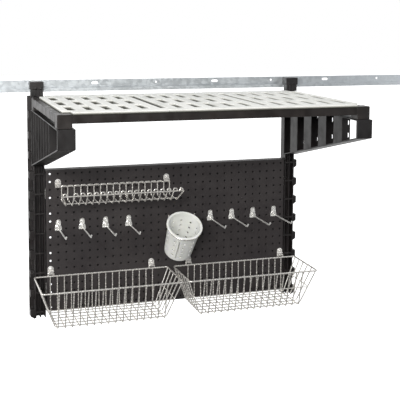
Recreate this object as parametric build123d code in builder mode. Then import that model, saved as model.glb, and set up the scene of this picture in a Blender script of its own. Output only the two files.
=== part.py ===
from build123d import *
import os
from math import atan2, cos, hypot, radians, sin

os.makedirs("parts", exist_ok=True)

# Pegboard tool wall: a steel wall rail carries two uprights, which carry a perforated panel and a shelf.
# Millimetres. Origin: middle of the rail's back face. +X right, +Y into the wall, +Z up.

# Wall rail
RAIL_LENGTH = 1828.8
RAIL_HEIGHT = 36.0
RAIL_SHEET = 2.0
TROUGH_DEPTH = 13.0
TROUGH_LIP = 11.0
RAIL_HOLE_Z = 7.0
RAIL_HOLE_R = 3.5
RAIL_SLOT_LENGTH = 22.0
RAIL_SLOT_WIDTH = 8.0
RAIL_HOLE_PITCH = 406.4
RAIL_FIRST_HOLE = -850.9
RAIL_FIRST_SLOT = -647.7

# Perforated panel
PITCH = 25.4
COLUMNS = 32
ROWS = 18
TOP_ROW_Z = -276.0
PANEL_FRONT = -39.0
PANEL_SHEET = 1.2
PANEL_FLANGE = 34.0
PEG_HOLE_R = 3.2
STIFFENER_ROWS = (4.5, 12.5)
STIFFENER_HEIGHT = 16.0
STIFFENER_DEPTH = 12.0
STIFFENER_LENGTH = 800.0
BACKING_SHEET = 1.0
BACKING_TAB_ROWS = (2, 4, 7, 9, 13, 16)
BACKING_TAB_WIDTH = 20.0
PANEL_SCREW_X = 254.0
SCREW_R = 2.0
SCREW_HEAD_R = 4.2
SCREW_HEAD = 2.4

# Uprights
POST_X = 426.5
POST_WIDTH = 34.0
POST_DEPTH = 38.0
POST_WALL = 4.0
POST_TOP = -30.0
POST_BOTTOM = -738.0
FRONT_RECESS = 22.0
BACK_RECESS = 11.0
STEP = 63.5
LUG_TOP = -77.7
LUG_COUNT = 11
LUG_REACH = 13.5
LUG_FACE = 22.0
LUG_SLANT = 9.0
LUG_FRONT = 30.0
SIDE_FLANGE = 4.0
BAR_HEIGHT = 6.0
BAR_DEPTH = 8.0

# Hangers on top of the uprights
HANGER_WIDTH = 42.0
HANGER_X = 431.5
HEAD_TOP = 15.0
HEAD_BOTTOM = -1.0
NECK_WIDTH = 38.0
NECK_RIB = 4.0
TONGUE = 6.0

# Shelf brackets
BRACKET_WIDTH = 47.5
BRACKET_X = 426.5
BRACKET_REAR = -38.3
BRACKET_NOSE = -564.8
BRACKET_TOP = -70.4
BRACKET_REAR_BOTTOM = -248.0
BRACKET_NOSE_BOTTOM = -124.0
BRACKET_WALL = 3.0
BRACKET_CELL = 53.0
BRACKET_CELLS = 7
BRACKET_FIRST_CELL = -97.5
WEB_DEPTH = 27.0
NOSE_WALL = 8.0
OVAL_INSET = 20.5
OVAL_LEVELS = ((-92.0, -190.0), (-92.0, -166.0), (-92.0, -144.0), (-89.0, -126.0))

# Shelf frame and mats
SHELF_HALF = 448.6
SHELF_FRONT = -552.0
SHELF_REAR = -43.0
BLOCK = 40.0
BLOCK_TOP = -33.0
BLOCK_BOTTOM = -70.1
BEAM_TOP = -35.0
BEAM_BOTTOM = -57.4
BEAM_THICKNESS = 22.0
MAT_TOP = -27.0
MAT_PLATE = 7.7
MAT_DEEP = 20.0
MAT_HALF = 430.0
MAT_JOINT = 150.0
MAT_FRONT = -554.6
MAT_REAR = -44.0
SLOT_PITCH = 50.0
SLOT_WIDTH = 23.0
SLOT_LENGTH = 112.0
SLOT_ROW_PITCH = 146.0
SLOT_MID_Y = -303.0
JOINT_SLOT_WIDTH = 20.0
JOINT_SLOT_LENGTH = 400.0
PEG_R = 4.0
PEG_OFFSET = 4.0

# Clips, hooks and wire goods
CLIP_WIDTH = 19.0
CLIP_SHEET = 2.0
CLIP_TOP = 8.5
CLIP_BOTTOM = -19.0
ROD_DROP = 12.6
LIP_WIDTH = 8.0
WIRE = 4.0
WIRE_PLANE = -47.0
HOOK_COLUMNS = (1, 4, 7, 10, 21, 24, 27, 30)
HOOK_ROW = 6
HOOK_PLATE_BACK = -39.9
HOOK_SHEET = 1.5
HOOK_WIDTH = 22.0
HOOK_REACH = 150.0
HOOK_ROD_R = 2.5
PEG_WIRE_R = 2.0
EAR_ANGLE = 38.0
BASKET_COLUMNS = ((0, 13), (18, 31))
BASKET_ROW = 12
BASKET_LENGTH = 440.0
BASKET_DEPTH = 183.0
BASKET_HEIGHT = 120.0
BASKET_FLOOR_LENGTH = 350.0
BASKET_FLOOR_DEPTH = 150.0
BASKET_RIM_Z = -603.5
BASKET_PITCH = 22.35
BASKET_BARS = 16
TRAY_COLUMNS = (1, 15)
TRAY_ROW = 1
TRAY_PITCH = 21.0
TRAY_BARS = 16
TRAY_LENGTH = 358.0
TRAY_X = -181.0
TRAY_FLOOR_Z = -361.0
TRAY_FLOOR_DEPTH = 84.0
TRAY_FRONT_Y = -164.0
TRAY_FRONT_Z = -327.0
TRAY_FRONT_LENGTH = 386.0

# Cup and its holder
CUP_X = 15.0
CUP_BASE_Y = -82.0
CUP_BASE_Z = -541.8
CUP_LEAN = 36.87
CUP_LENGTH = 127.0
CUP_TOP_R = 53.5
CUP_BOTTOM_R = 45.0
CUP_WALL = 2.5
CUP_FLANGE_R = 58.0
CUP_FLANGE = 3.0
RING_WIRE_R = 2.2
RING_T = 121.0
CUP_COLUMNS = 10
CUP_COLUMN_START = 46.0
CUP_LEVELS = 4
CUP_FIRST_LEVEL = 26.0
CUP_LEVEL_STEP = 22.5
CUP_HOLE_R = 3.6
CUP_SLOT_ANGLE = 244.0
CUP_SLOT_LENGTH = 106.0
CUP_SLOT_WIDTH = 2.6
HOLDER_PLATE_Z = -466.5
HOLDER_PLATE_X = 25.4
HOLDER_COLUMNS = (16, 17)
HOLDER_PLATE_WIDTH = 51.0
HOLDER_ARM_HALF = 19.0
HOLDER_PLATE_HEIGHT = 42.0

PANEL_WIDTH = COLUMNS * PITCH
PANEL_HEIGHT = ROWS * PITCH
SIDES = (("left", -1), ("right", 1))


def column_x(column):
    return (column - (COLUMNS - 1) / 2) * PITCH


def row_z(row):
    return TOP_ROW_Z - row * PITCH


PANEL_MID_Z = row_z((ROWS - 1) / 2)


def write(builder, name):
    """Label the finished piece and write it as one STEP file."""
    builder.part.label = name
    export_step(builder.part, f"parts/{name}.step")


def wall_rail():
    """J-formed hanging rail: flat web on the wall, with an upward trough along its bottom edge."""
    low = -RAIL_HEIGHT / 2
    with BuildPart() as rail:
        with BuildSketch(Plane.YZ):
            with BuildLine():
                Polyline(
                    (0, low),
                    (0, RAIL_HEIGHT / 2),
                    (-RAIL_SHEET, RAIL_HEIGHT / 2),
                    (-RAIL_SHEET, low + RAIL_SHEET),
                    (-TROUGH_DEPTH + RAIL_SHEET, low + RAIL_SHEET),
                    (-TROUGH_DEPTH + RAIL_SHEET, low + TROUGH_LIP),
                    (-TROUGH_DEPTH, low + TROUGH_LIP),
                    (-TROUGH_DEPTH, low),
                    close=True,
                )
            make_face()
        extrude(amount=RAIL_LENGTH / 2, both=True)
        rounds = [RAIL_FIRST_HOLE + i * RAIL_HOLE_PITCH for i in range(5)]
        slots = [RAIL_FIRST_SLOT + i * RAIL_HOLE_PITCH for i in range(4)]
        with BuildSketch(Plane.XZ):
            with Locations(*[(x, RAIL_HOLE_Z) for x in rounds]):
                Circle(RAIL_HOLE_R)
            with Locations(*[(x, RAIL_HOLE_Z) for x in slots]):
                SlotOverall(RAIL_SLOT_LENGTH, RAIL_SLOT_WIDTH)
            with Locations(*[(x, low + TROUGH_LIP / 2 + 1) for x in rounds + slots]):
                Circle(1.6)
        extrude(amount=2 * TROUGH_DEPTH, both=True, mode=Mode.SUBTRACT)
    write(rail, "wall_rail")


def upright(side_name, side):
    """Moulded post: H section, cross bars in the front channel, wedge lugs on an outer side flange."""
    centre = side * POST_X
    inner = POST_WIDTH - 2 * POST_WALL
    height = POST_TOP - POST_BOTTOM
    levels = [LUG_TOP - i * STEP for i in range(LUG_COUNT)]
    with BuildPart() as post:
        with BuildSketch(Plane.XY.offset(POST_BOTTOM)):
            with Locations((centre, -POST_DEPTH / 2)):
                Rectangle(POST_WIDTH, POST_DEPTH)
            with Locations((centre, -POST_DEPTH + FRONT_RECESS / 2)):
                Rectangle(inner, FRONT_RECESS, mode=Mode.SUBTRACT)
            with Locations((centre, -BACK_RECESS / 2)):
                Rectangle(inner, BACK_RECESS, mode=Mode.SUBTRACT)
            with Locations((centre, -POST_DEPTH + 2 + BAR_DEPTH / 2)):
                Rectangle(POST_WALL, BAR_DEPTH)
            with Locations((centre, -POST_DEPTH + FRONT_RECESS - 3)):
                Rectangle(POST_WALL, 6.2)
            with Locations((side * (POST_X + (POST_WIDTH + LUG_REACH) / 2), -SIDE_FLANGE / 2)):
                Rectangle(LUG_REACH + 1, SIDE_FLANGE)
        extrude(amount=height)
        with Locations(*[(centre, -POST_DEPTH + 2 + BAR_DEPTH / 2, z - 8) for z in levels]):
            Box(inner + 1, BAR_DEPTH, BAR_HEIGHT)
        root = side * (POST_X + POST_WIDTH / 2 - 1)
        tip = side * (POST_X + POST_WIDTH / 2 + LUG_REACH)
        with BuildSketch(Plane.XZ.offset(SIDE_FLANGE - 1)):
            for z in levels:
                with BuildLine():
                    Polyline(
                        (root, z),
                        (tip, z),
                        (tip, z - LUG_FACE),
                        (root, z - LUG_FACE - LUG_SLANT),
                        close=True,
                    )
                make_face()
        extrude(amount=LUG_FRONT - SIDE_FLANGE + 1)
    write(post, f"upright_{side_name}")


def hanger(side_name, side):
    """Head that hooks its tongue into the rail's trough, on a ribbed neck above the post."""
    lip_back = -TROUGH_DEPTH + RAIL_SHEET
    lip_top = -RAIL_HEIGHT / 2 + TROUGH_LIP
    tongue_back = lip_back + 0.4 + TONGUE
    with BuildPart() as cap:
        with BuildSketch(Plane.YZ.offset(side * HANGER_X)):
            with BuildLine():
                Polyline(
                    (-POST_DEPTH, HEAD_BOTTOM - 1),
                    (-POST_DEPTH, HEAD_TOP),
                    (-RAIL_SHEET - 0.5, HEAD_TOP),
                    (-RAIL_SHEET - 0.5, lip_top + 1),
                    (tongue_back, lip_top + 1),
                    (tongue_back, -RAIL_HEIGHT / 2 + RAIL_SHEET + 0.5),
                    (lip_back + 0.4, -RAIL_HEIGHT / 2 + RAIL_SHEET + 0.5),
                    (lip_back + 0.4, lip_top + 0.4),
                    (-TROUGH_DEPTH - 0.4, lip_top + 0.4),
                    (-TROUGH_DEPTH - 0.4, HEAD_BOTTOM - 7),
                    (-POST_DEPTH, HEAD_BOTTOM - 7),
                    close=True,
                )
            make_face()
        extrude(amount=HANGER_WIDTH / 2, both=True)
        neck_x = side * (HANGER_X - 1)
        neck_depth = POST_DEPTH - TROUGH_DEPTH - 0.4
        neck_top = HEAD_BOTTOM - 7
        neck_z = (neck_top + POST_TOP) / 2
        with Locations((neck_x, -POST_DEPTH + (neck_depth + NECK_RIB - 1) / 2, neck_z)):
            Box(NECK_WIDTH, neck_depth - NECK_RIB + 1, neck_top - POST_TOP)
        with Locations(*[(neck_x + x, -POST_DEPTH + NECK_RIB / 2, neck_z) for x in (-17, -6, 6, 17)]):
            Box(NECK_RIB, NECK_RIB, neck_top - POST_TOP)
        with Locations(*[(side * POST_X + x, -POST_DEPTH + 8, POST_TOP) for x in (-7, 7)]):
            Box(8, 3, 12, align=(Align.CENTER, Align.CENTER, Align.MAX))
        screw_z = neck_top + 3
        with Locations(*[Location((side * POST_X + x, -POST_DEPTH, screw_z), (90, 0, 0)) for x in (-8, 8)]):
            Hole(SCREW_R + 0.3, depth=18)
    write(cap, f"hanger_{side_name}")


def bracket_bottom(y):
    slope = (BRACKET_NOSE_BOTTOM - BRACKET_REAR_BOTTOM) / (BRACKET_NOSE - BRACKET_REAR)
    return BRACKET_REAR_BOTTOM + slope * (y - BRACKET_REAR)


def cell_outline(rear, front):
    """Four corners of one pocket between the bracket's flanges."""
    low = 1.3 * BRACKET_WALL
    return (
        (rear, bracket_bottom(rear) + low),
        (rear, BRACKET_TOP - BRACKET_WALL),
        (front, BRACKET_TOP - BRACKET_WALL),
        (front, bracket_bottom(front) + low),
    )


def bracket(side_name, side):
    """Tapered cantilever with full-width flanges and a web folded from one face to the other."""
    centre = side * BRACKET_X
    half = BRACKET_WIDTH / 2
    inner_face = centre - side * half
    outer_face = centre + side * half
    last_cell = BRACKET_FIRST_CELL - BRACKET_CELLS * BRACKET_CELL
    with BuildPart() as arm:
        with BuildSketch(Plane.YZ.offset(centre)):
            with BuildLine():
                Polyline(
                    (BRACKET_REAR, BRACKET_REAR_BOTTOM),
                    (BRACKET_REAR, BRACKET_TOP),
                    (BRACKET_NOSE, BRACKET_TOP),
                    (BRACKET_NOSE, BRACKET_NOSE_BOTTOM),
                    close=True,
                )
            make_face()
        extrude(amount=half, both=True)
        # Pockets on alternate sides leave one web, folded from the inner face to WEB_DEPTH behind it.
        for i in range(BRACKET_CELLS):
            rear = BRACKET_FIRST_CELL - i * BRACKET_CELL - BRACKET_WALL / 2
            front = rear - BRACKET_CELL + BRACKET_WALL
            web = BRACKET_WALL if i % 2 == 0 else WEB_DEPTH
            with BuildSketch(Plane.YZ.offset(outer_face)):
                with BuildLine():
                    Polyline(*cell_outline(rear, front), close=True)
                make_face()
            extrude(amount=-side * (BRACKET_WIDTH - web), mode=Mode.SUBTRACT)
            if i % 2:
                with BuildSketch(Plane.YZ.offset(inner_face)):
                    with BuildLine():
                        Polyline(*cell_outline(rear, front), close=True)
                    make_face()
                extrude(amount=side * (WEB_DEPTH - BRACKET_WALL), mode=Mode.SUBTRACT)
        # Rear spine: pockets from both faces, with the middle web left between them.
        for face, inward in ((outer_face, -side), (inner_face, side)):
            with BuildSketch(Plane.YZ.offset(face)):
                with BuildLine():
                    Polyline(
                        *cell_outline(BRACKET_REAR - 6, BRACKET_FIRST_CELL + BRACKET_WALL / 2),
                        close=True,
                    )
                make_face()
            extrude(amount=inward * (BRACKET_WIDTH - BRACKET_WALL) / 2, mode=Mode.SUBTRACT)
        # Window between the last fold and the nose, right through.
        with BuildSketch(Plane.YZ.offset(centre)):
            with BuildLine():
                Polyline(
                    *cell_outline(last_cell - BRACKET_WALL / 2, BRACKET_NOSE + NOSE_WALL),
                    close=True,
                )
            make_face()
        extrude(amount=half + 1, both=True, mode=Mode.SUBTRACT)
        # The last fold reaches no further out than the web, so the window looks past it.
        with BuildSketch(Plane.YZ.offset(outer_face)):
            with BuildLine():
                Polyline(
                    *cell_outline(last_cell + BRACKET_WALL / 2 + 0.5, last_cell - BRACKET_WALL / 2 - 0.5),
                    close=True,
                )
            make_face()
        extrude(amount=-side * (BRACKET_WIDTH - WEB_DEPTH), mode=Mode.SUBTRACT)
        # Oval holes through the folds, one above the other.
        for fold, levels in enumerate(OVAL_LEVELS):
            fold_y = BRACKET_FIRST_CELL - (2 * fold + 1) * BRACKET_CELL
            with BuildSketch(Plane.XZ.offset(-fold_y)):
                with Locations(*[(inner_face + side * OVAL_INSET, z) for z in levels]):
                    SlotOverall(14, 7, rotation=90)
            extrude(amount=BRACKET_WALL, both=True, mode=Mode.SUBTRACT)
        # Socket for the shelf's locating peg.
        with Locations((centre + side * PEG_OFFSET, SHELF_REAR - BLOCK / 2, BRACKET_TOP)):
            Hole(PEG_R + 0.5, depth=12)
        # Hook pairs that pass over the post's cross bars and drop behind them.
        for level in (LUG_TOP, LUG_TOP - STEP, LUG_TOP - 2 * STEP):
            bar_top = level - 8 + BAR_HEIGHT / 2
            with Locations(*[(centre + x, BRACKET_REAR + 8.5, bar_top + 3.3) for x in (-7.5, 7.5)]):
                Box(7, 17, 6)
            with Locations(*[(centre + x, BRACKET_REAR + 14.5, bar_top - 0.7) for x in (-7.5, 7.5)]):
                Box(7, 5, 8)
    write(arm, f"bracket_{side_name}")


def pegboard_panel():
    """Sheet-steel tray, open at the back, with a square grid of peg holes."""
    with BuildPart() as panel:
        with BuildSketch(Plane.XZ.offset(-PANEL_FRONT)):
            with Locations((0, PANEL_MID_Z)):
                Rectangle(PANEL_WIDTH, PANEL_HEIGHT)
        extrude(amount=-PANEL_FLANGE)
        with BuildSketch(Plane.XZ.offset(-PANEL_FRONT - PANEL_SHEET)):
            with Locations((0, PANEL_MID_Z)):
                Rectangle(PANEL_WIDTH - 2 * PANEL_SHEET, PANEL_HEIGHT - 2 * PANEL_SHEET)
        extrude(amount=-PANEL_FLANGE, mode=Mode.SUBTRACT)
        with BuildSketch(Plane.XZ.offset(-PANEL_FRONT + 1)):
            with Locations((0, PANEL_MID_Z)):
                with GridLocations(PITCH, PITCH, COLUMNS, ROWS):
                    Circle(PEG_HOLE_R)
            with Locations(*[(x, row_z(r)) for x in (-PANEL_SCREW_X, PANEL_SCREW_X) for r in STIFFENER_ROWS]):
                Circle(SCREW_R + 0.3)
        extrude(amount=-PANEL_SHEET - 2, mode=Mode.SUBTRACT)
    write(panel, "pegboard_panel")


def stiffener(name, row):
    """Hat channel that stiffens the panel from behind."""
    back = -PANEL_FRONT - PANEL_SHEET
    with BuildPart() as channel:
        with BuildSketch(Plane.XZ.offset(back)):
            with Locations((0, row_z(row))):
                Rectangle(STIFFENER_LENGTH, STIFFENER_HEIGHT)
        extrude(amount=-STIFFENER_DEPTH)
        with BuildSketch(Plane.XZ.offset(back - 1.5)):
            with Locations((0, row_z(row))):
                Rectangle(STIFFENER_LENGTH + 2, STIFFENER_HEIGHT - 3)
        extrude(amount=-STIFFENER_DEPTH, mode=Mode.SUBTRACT)
        with BuildSketch(Plane.XZ.offset(back + 1)):
            with Locations((-PANEL_SCREW_X, row_z(row)), (PANEL_SCREW_X, row_z(row))):
                Circle(SCREW_R + 0.3)
        extrude(amount=-4, mode=Mode.SUBTRACT)
    write(channel, name)


def backing():
    """Dark sheet behind the stiffeners, with tabs along its left edge that reach the panel's flange."""
    front = -PANEL_FRONT - PANEL_SHEET - STIFFENER_DEPTH - 0.2
    left = column_x(0.5)
    right = PANEL_WIDTH / 2 - PANEL_SHEET - 0.3
    with BuildPart() as sheet:
        with BuildSketch(Plane.XZ.offset(front)):
            with Locations(((left + right) / 2, PANEL_MID_Z)):
                Rectangle(right - left, PANEL_HEIGHT - 2 * PANEL_SHEET - 0.6)
            with Locations(*[(left, row_z(row)) for row in BACKING_TAB_ROWS]):
                Rectangle(2 * (right + left), BACKING_TAB_WIDTH)
        extrude(amount=-BACKING_SHEET)
    write(sheet, "panel_backing")


def screw_group(name, places, front, length):
    """Pan-head screws along Y, each with a domed head in front of the plane y = front."""
    with BuildPart() as screws:
        for x, z in places:
            with BuildSketch(Plane((x, front, z), x_dir=(1, 0, 0), z_dir=(0, -1, 0))):
                Circle(SCREW_HEAD_R)
            extrude(amount=SCREW_HEAD)
            with BuildSketch(Plane((x, front, z), x_dir=(1, 0, 0), z_dir=(0, -1, 0))):
                Circle(SCREW_R)
            extrude(amount=-length)
        heads = screws.faces().filter_by(Axis.Y).group_by(Axis.Y)[0]
        chamfer(heads.edges(), 1.0)
    write(screws, name)


def panel_clips():
    """Flat clips in the gap between the panel's side flanges and the posts."""
    gap_mid = (PANEL_WIDTH / 2 + POST_X - POST_WIDTH / 2) / 2
    rows = (2.5, 14.5)
    with BuildPart() as clips:
        with Locations(*[(s * gap_mid, PANEL_FRONT + 19, row_z(r)) for _, s in SIDES for r in rows]):
            Box(POST_X - POST_WIDTH / 2 - PANEL_WIDTH / 2, 22, 34)
    write(clips, "panel_clips")


def wire_clips(name, places):
    """Sheet clips: a round-topped plate with a turned-up lip that a wire rod drops into."""
    front = PANEL_FRONT - CLIP_SHEET
    floor = -ROD_DROP - WIRE / 2 - 0.3
    lip_y = WIRE_PLANE - WIRE / 2 - 0.3
    with BuildPart() as clips:
        for column, row in places:
            x = column_x(column)
            z = row_z(row)
            with BuildSketch(Plane((x, PANEL_FRONT, z), x_dir=(1, 0, 0), z_dir=(0, -1, 0))):
                with Locations((0, (CLIP_BOTTOM - 1) / 2)):
                    Rectangle(CLIP_WIDTH, -CLIP_BOTTOM - 1)
                with Locations((0, -1)):
                    Circle(CLIP_TOP + 1)
                Circle(SCREW_R + 0.3, mode=Mode.SUBTRACT)
            extrude(amount=CLIP_SHEET)
            with Locations((x, (front + lip_y - CLIP_SHEET) / 2, z + floor - CLIP_SHEET / 2)):
                Box(LIP_WIDTH, front - lip_y + CLIP_SHEET, CLIP_SHEET)
            with Locations((x, lip_y - CLIP_SHEET / 2, z + floor + 3)):
                Box(LIP_WIDTH, CLIP_SHEET, 10)
    write(clips, name)


def shelf_frame():
    """Four beams between four corner blocks, with two joists under the mat joints."""
    beam_mid_z = (BEAM_TOP + BEAM_BOTTOM) / 2
    beam_height = BEAM_TOP - BEAM_BOTTOM
    front_block_y = SHELF_FRONT + BLOCK / 2
    rear_block_y = SHELF_REAR - BLOCK / 2
    for place, y in (("front", front_block_y), ("rear", rear_block_y)):
        for side_name, side in SIDES:
            x = side * (SHELF_HALF - BLOCK / 2)
            with BuildPart() as block:
                with Locations((x, y, (BLOCK_TOP + BLOCK_BOTTOM) / 2)):
                    Box(BLOCK, BLOCK, BLOCK_TOP - BLOCK_BOTTOM)
                fillet(block.edges().filter_by(Axis.Z), 2.0)
                chamfer(block.faces().sort_by(Axis.Z)[-1].edges(), 1.0)
                if place == "rear":
                    with Locations((side * (BRACKET_X + PEG_OFFSET), y, BLOCK_BOTTOM)):
                        Cylinder(PEG_R, 9, align=(Align.CENTER, Align.CENTER, Align.MAX))
            write(block, f"shelf_corner_{place}_{side_name}")
    length = 2 * (SHELF_HALF - BLOCK)
    for name, y in (("shelf_front_beam", SHELF_FRONT + BEAM_THICKNESS / 2),
                    ("shelf_rear_beam", SHELF_REAR - BEAM_THICKNESS / 2)):
        with BuildPart() as beam:
            with Locations((0, y, beam_mid_z)):
                Box(length, BEAM_THICKNESS, beam_height)
            with Locations((0, y, BEAM_BOTTOM)):
                Box(length - 8, BEAM_THICKNESS - 6, beam_height - 3,
                    align=(Align.CENTER, Align.CENTER, Align.MIN), mode=Mode.SUBTRACT)
        write(beam, name)
    side_length = SHELF_REAR - SHELF_FRONT - 2 * BLOCK
    for side_name, side in SIDES:
        x = side * (SHELF_HALF - BEAM_THICKNESS / 2)
        with BuildPart() as beam:
            with Locations((x, (SHELF_FRONT + SHELF_REAR) / 2, beam_mid_z)):
                Box(BEAM_THICKNESS, side_length, beam_height)
            with Locations((x, (SHELF_FRONT + SHELF_REAR) / 2, BEAM_BOTTOM)):
                Box(BEAM_THICKNESS - 6, side_length - 8, beam_height - 3,
                    align=(Align.CENTER, Align.CENTER, Align.MIN), mode=Mode.SUBTRACT)
        write(beam, f"shelf_side_beam_{side_name}")
        with BuildPart() as joist:
            with Locations((side * MAT_JOINT, (SHELF_FRONT + SHELF_REAR) / 2, beam_mid_z)):
                Box(20, SHELF_REAR - SHELF_FRONT - 2 * BEAM_THICKNESS, beam_height)
        write(joist, f"shelf_joist_{side_name}")


def mat(name, low_x, high_x, outer):
    """Slotted moulded mat: a thin border that lies on the frame and a deeper grid between the beams."""
    mid_x = (low_x + high_x) / 2
    mid_y = (MAT_FRONT + MAT_REAR) / 2
    width = high_x - low_x - 0.6
    depth = MAT_REAR - MAT_FRONT
    inner_left = low_x + (26 if outer == -1 else 14)
    inner_right = high_x - (26 if outer == 1 else 14)
    inner_rear = SHELF_REAR - BEAM_THICKNESS - 1
    inner_front = SHELF_FRONT + BEAM_THICKNESS + 1
    joints = [x for x, s in ((low_x, -1), (high_x, 1)) if s != outer]
    with BuildPart() as plate:
        with BuildSketch(Plane.XY.offset(MAT_TOP - MAT_PLATE)):
            with Locations((mid_x, mid_y)):
                Rectangle(width, depth)
        extrude(amount=MAT_PLATE)
        with BuildSketch(Plane.XY.offset(MAT_TOP - MAT_DEEP)):
            with Locations(((inner_left + inner_right) / 2, (inner_rear + inner_front) / 2)):
                Rectangle(inner_right - inner_left, inner_rear - inner_front)
        extrude(amount=MAT_DEEP - MAT_PLATE)
        with BuildSketch(Plane.XY.offset(MAT_TOP - MAT_DEEP)):
            first = MAT_JOINT * round(mid_x / MAT_JOINT / 2) * 2
            with Locations((first, SLOT_MID_Y)):
                with GridLocations(SLOT_PITCH, SLOT_ROW_PITCH, 5, 3):
                    Rectangle(SLOT_WIDTH, SLOT_LENGTH)
            with Locations(*[(x, SLOT_MID_Y) for x in joints]):
                Rectangle(JOINT_SLOT_WIDTH, JOINT_SLOT_LENGTH)
            if outer:
                corner_x = outer * (SHELF_HALF - BLOCK / 2)
                corner_ys = (SHELF_FRONT + BLOCK / 2 - 4, SHELF_REAR - BLOCK / 2 + 4)
                with Locations(*[(corner_x, y) for y in corner_ys]):
                    Rectangle(BLOCK + 1, BLOCK + 9)
        extrude(amount=MAT_DEEP, mode=Mode.SUBTRACT)
    write(plate, name)


def hook(number, column):
    """Peg hook: bell-shaped plate, two wire pegs and a long rod with a turned-up tip."""
    x = column_x(column)
    top = row_z(HOOK_ROW)
    low = row_z(HOOK_ROW + 1)
    ear = 8.0
    ear_y = HOOK_PLATE_BACK - ear * sin(radians(EAR_ANGLE))
    ear_z = top + 0.5 + ear * cos(radians(EAR_ANGLE))
    rod_z = low + 3.0
    rod_end = PANEL_FRONT - HOOK_REACH
    with BuildPart() as peg_hook:
        with BuildSketch(Plane.YZ.offset(x)):
            with BuildLine():
                Polyline(
                    (HOOK_PLATE_BACK, low - 4.0),
                    (HOOK_PLATE_BACK, top + 0.5),
                    (ear_y, ear_z),
                    (ear_y - HOOK_SHEET, ear_z),
                    (HOOK_PLATE_BACK - HOOK_SHEET, top + 1.2),
                    (HOOK_PLATE_BACK - HOOK_SHEET, low - 4.0),
                    close=True,
                )
            make_face()
        extrude(amount=HOOK_WIDTH / 2, both=True)
        # Bell outline seen from the front.
        with BuildSketch(Plane((x, 0, 0), x_dir=(1, 0, 0), z_dir=(0, -1, 0))):
            with BuildLine():
                Polyline(
                    (-HOOK_WIDTH / 2, low - 4.0),
                    (-HOOK_WIDTH / 2, low + 4.0),
                    (-HOOK_WIDTH / 2 + 3.0, low + 13.0),
                    (-HOOK_WIDTH / 2 + 3.5, top - 2.0),
                )
                shoulder = HOOK_WIDTH / 2 - 3.5
                ThreePointArc((-shoulder, top - 2.0), (0, top + 8.0), (shoulder, top - 2.0))
                Polyline(
                    (HOOK_WIDTH / 2 - 3.5, top - 2.0),
                    (HOOK_WIDTH / 2 - 3.0, low + 13.0),
                    (HOOK_WIDTH / 2, low + 4.0),
                    (HOOK_WIDTH / 2, low - 4.0),
                    (-HOOK_WIDTH / 2, low - 4.0),
                )
            make_face()
        extrude(amount=80, both=True, mode=Mode.INTERSECT)
        peg_front = HOOK_PLATE_BACK - HOOK_SHEET / 2
        with BuildLine() as top_peg:
            FilletPolyline((x, peg_front, top), (x, -35.0, top), (x, -35.0, top + 7.5), radius=2.2)
        with BuildSketch(Plane((x, peg_front, top), x_dir=(1, 0, 0), z_dir=(0, 1, 0))):
            Circle(PEG_WIRE_R)
        sweep(path=top_peg.wires()[0])
        with BuildSketch(Plane((x, peg_front, low), x_dir=(1, 0, 0), z_dir=(0, 1, 0))):
            Circle(PEG_WIRE_R)
        extrude(amount=4.2)
        with BuildLine() as rod_line:
            FilletPolyline(
                (x, peg_front, rod_z), (x, rod_end, rod_z), (x, rod_end - 9.0, rod_z + 9.0), radius=10.0
            )
        with BuildSketch(Plane((x, peg_front, rod_z), x_dir=(1, 0, 0), z_dir=(0, -1, 0))):
            Circle(HOOK_ROD_R)
        sweep(path=rod_line.wires()[0])
    write(peg_hook, f"hook_{number}")


def bars_sketch(length_low, length_high, low, high, pitch, count):
    """Flat grille in the current sketch: bars across, slanting end bars and two edge rods."""
    with Locations((0, (low + high) / 2)):
        with GridLocations(pitch, 1, count, 1):
            Rectangle(WIRE, high - low)
    slope = (length_high - length_low) / 2 / (high - low)
    for s in (-1, 1):
        Polygon(
            (s * length_low / 2, low),
            (s * (length_low / 2 + slope * (high - low)), high),
            (s * (length_low / 2 + slope * (high - low) - WIRE), high),
            (s * (length_low / 2 - WIRE), low),
            align=None,
        )
    with Locations((0, low + WIRE / 2)):
        Rectangle(length_low - WIRE, WIRE)
    with Locations((0, high - WIRE / 2)):
        Rectangle(length_high - WIRE, WIRE)


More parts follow.
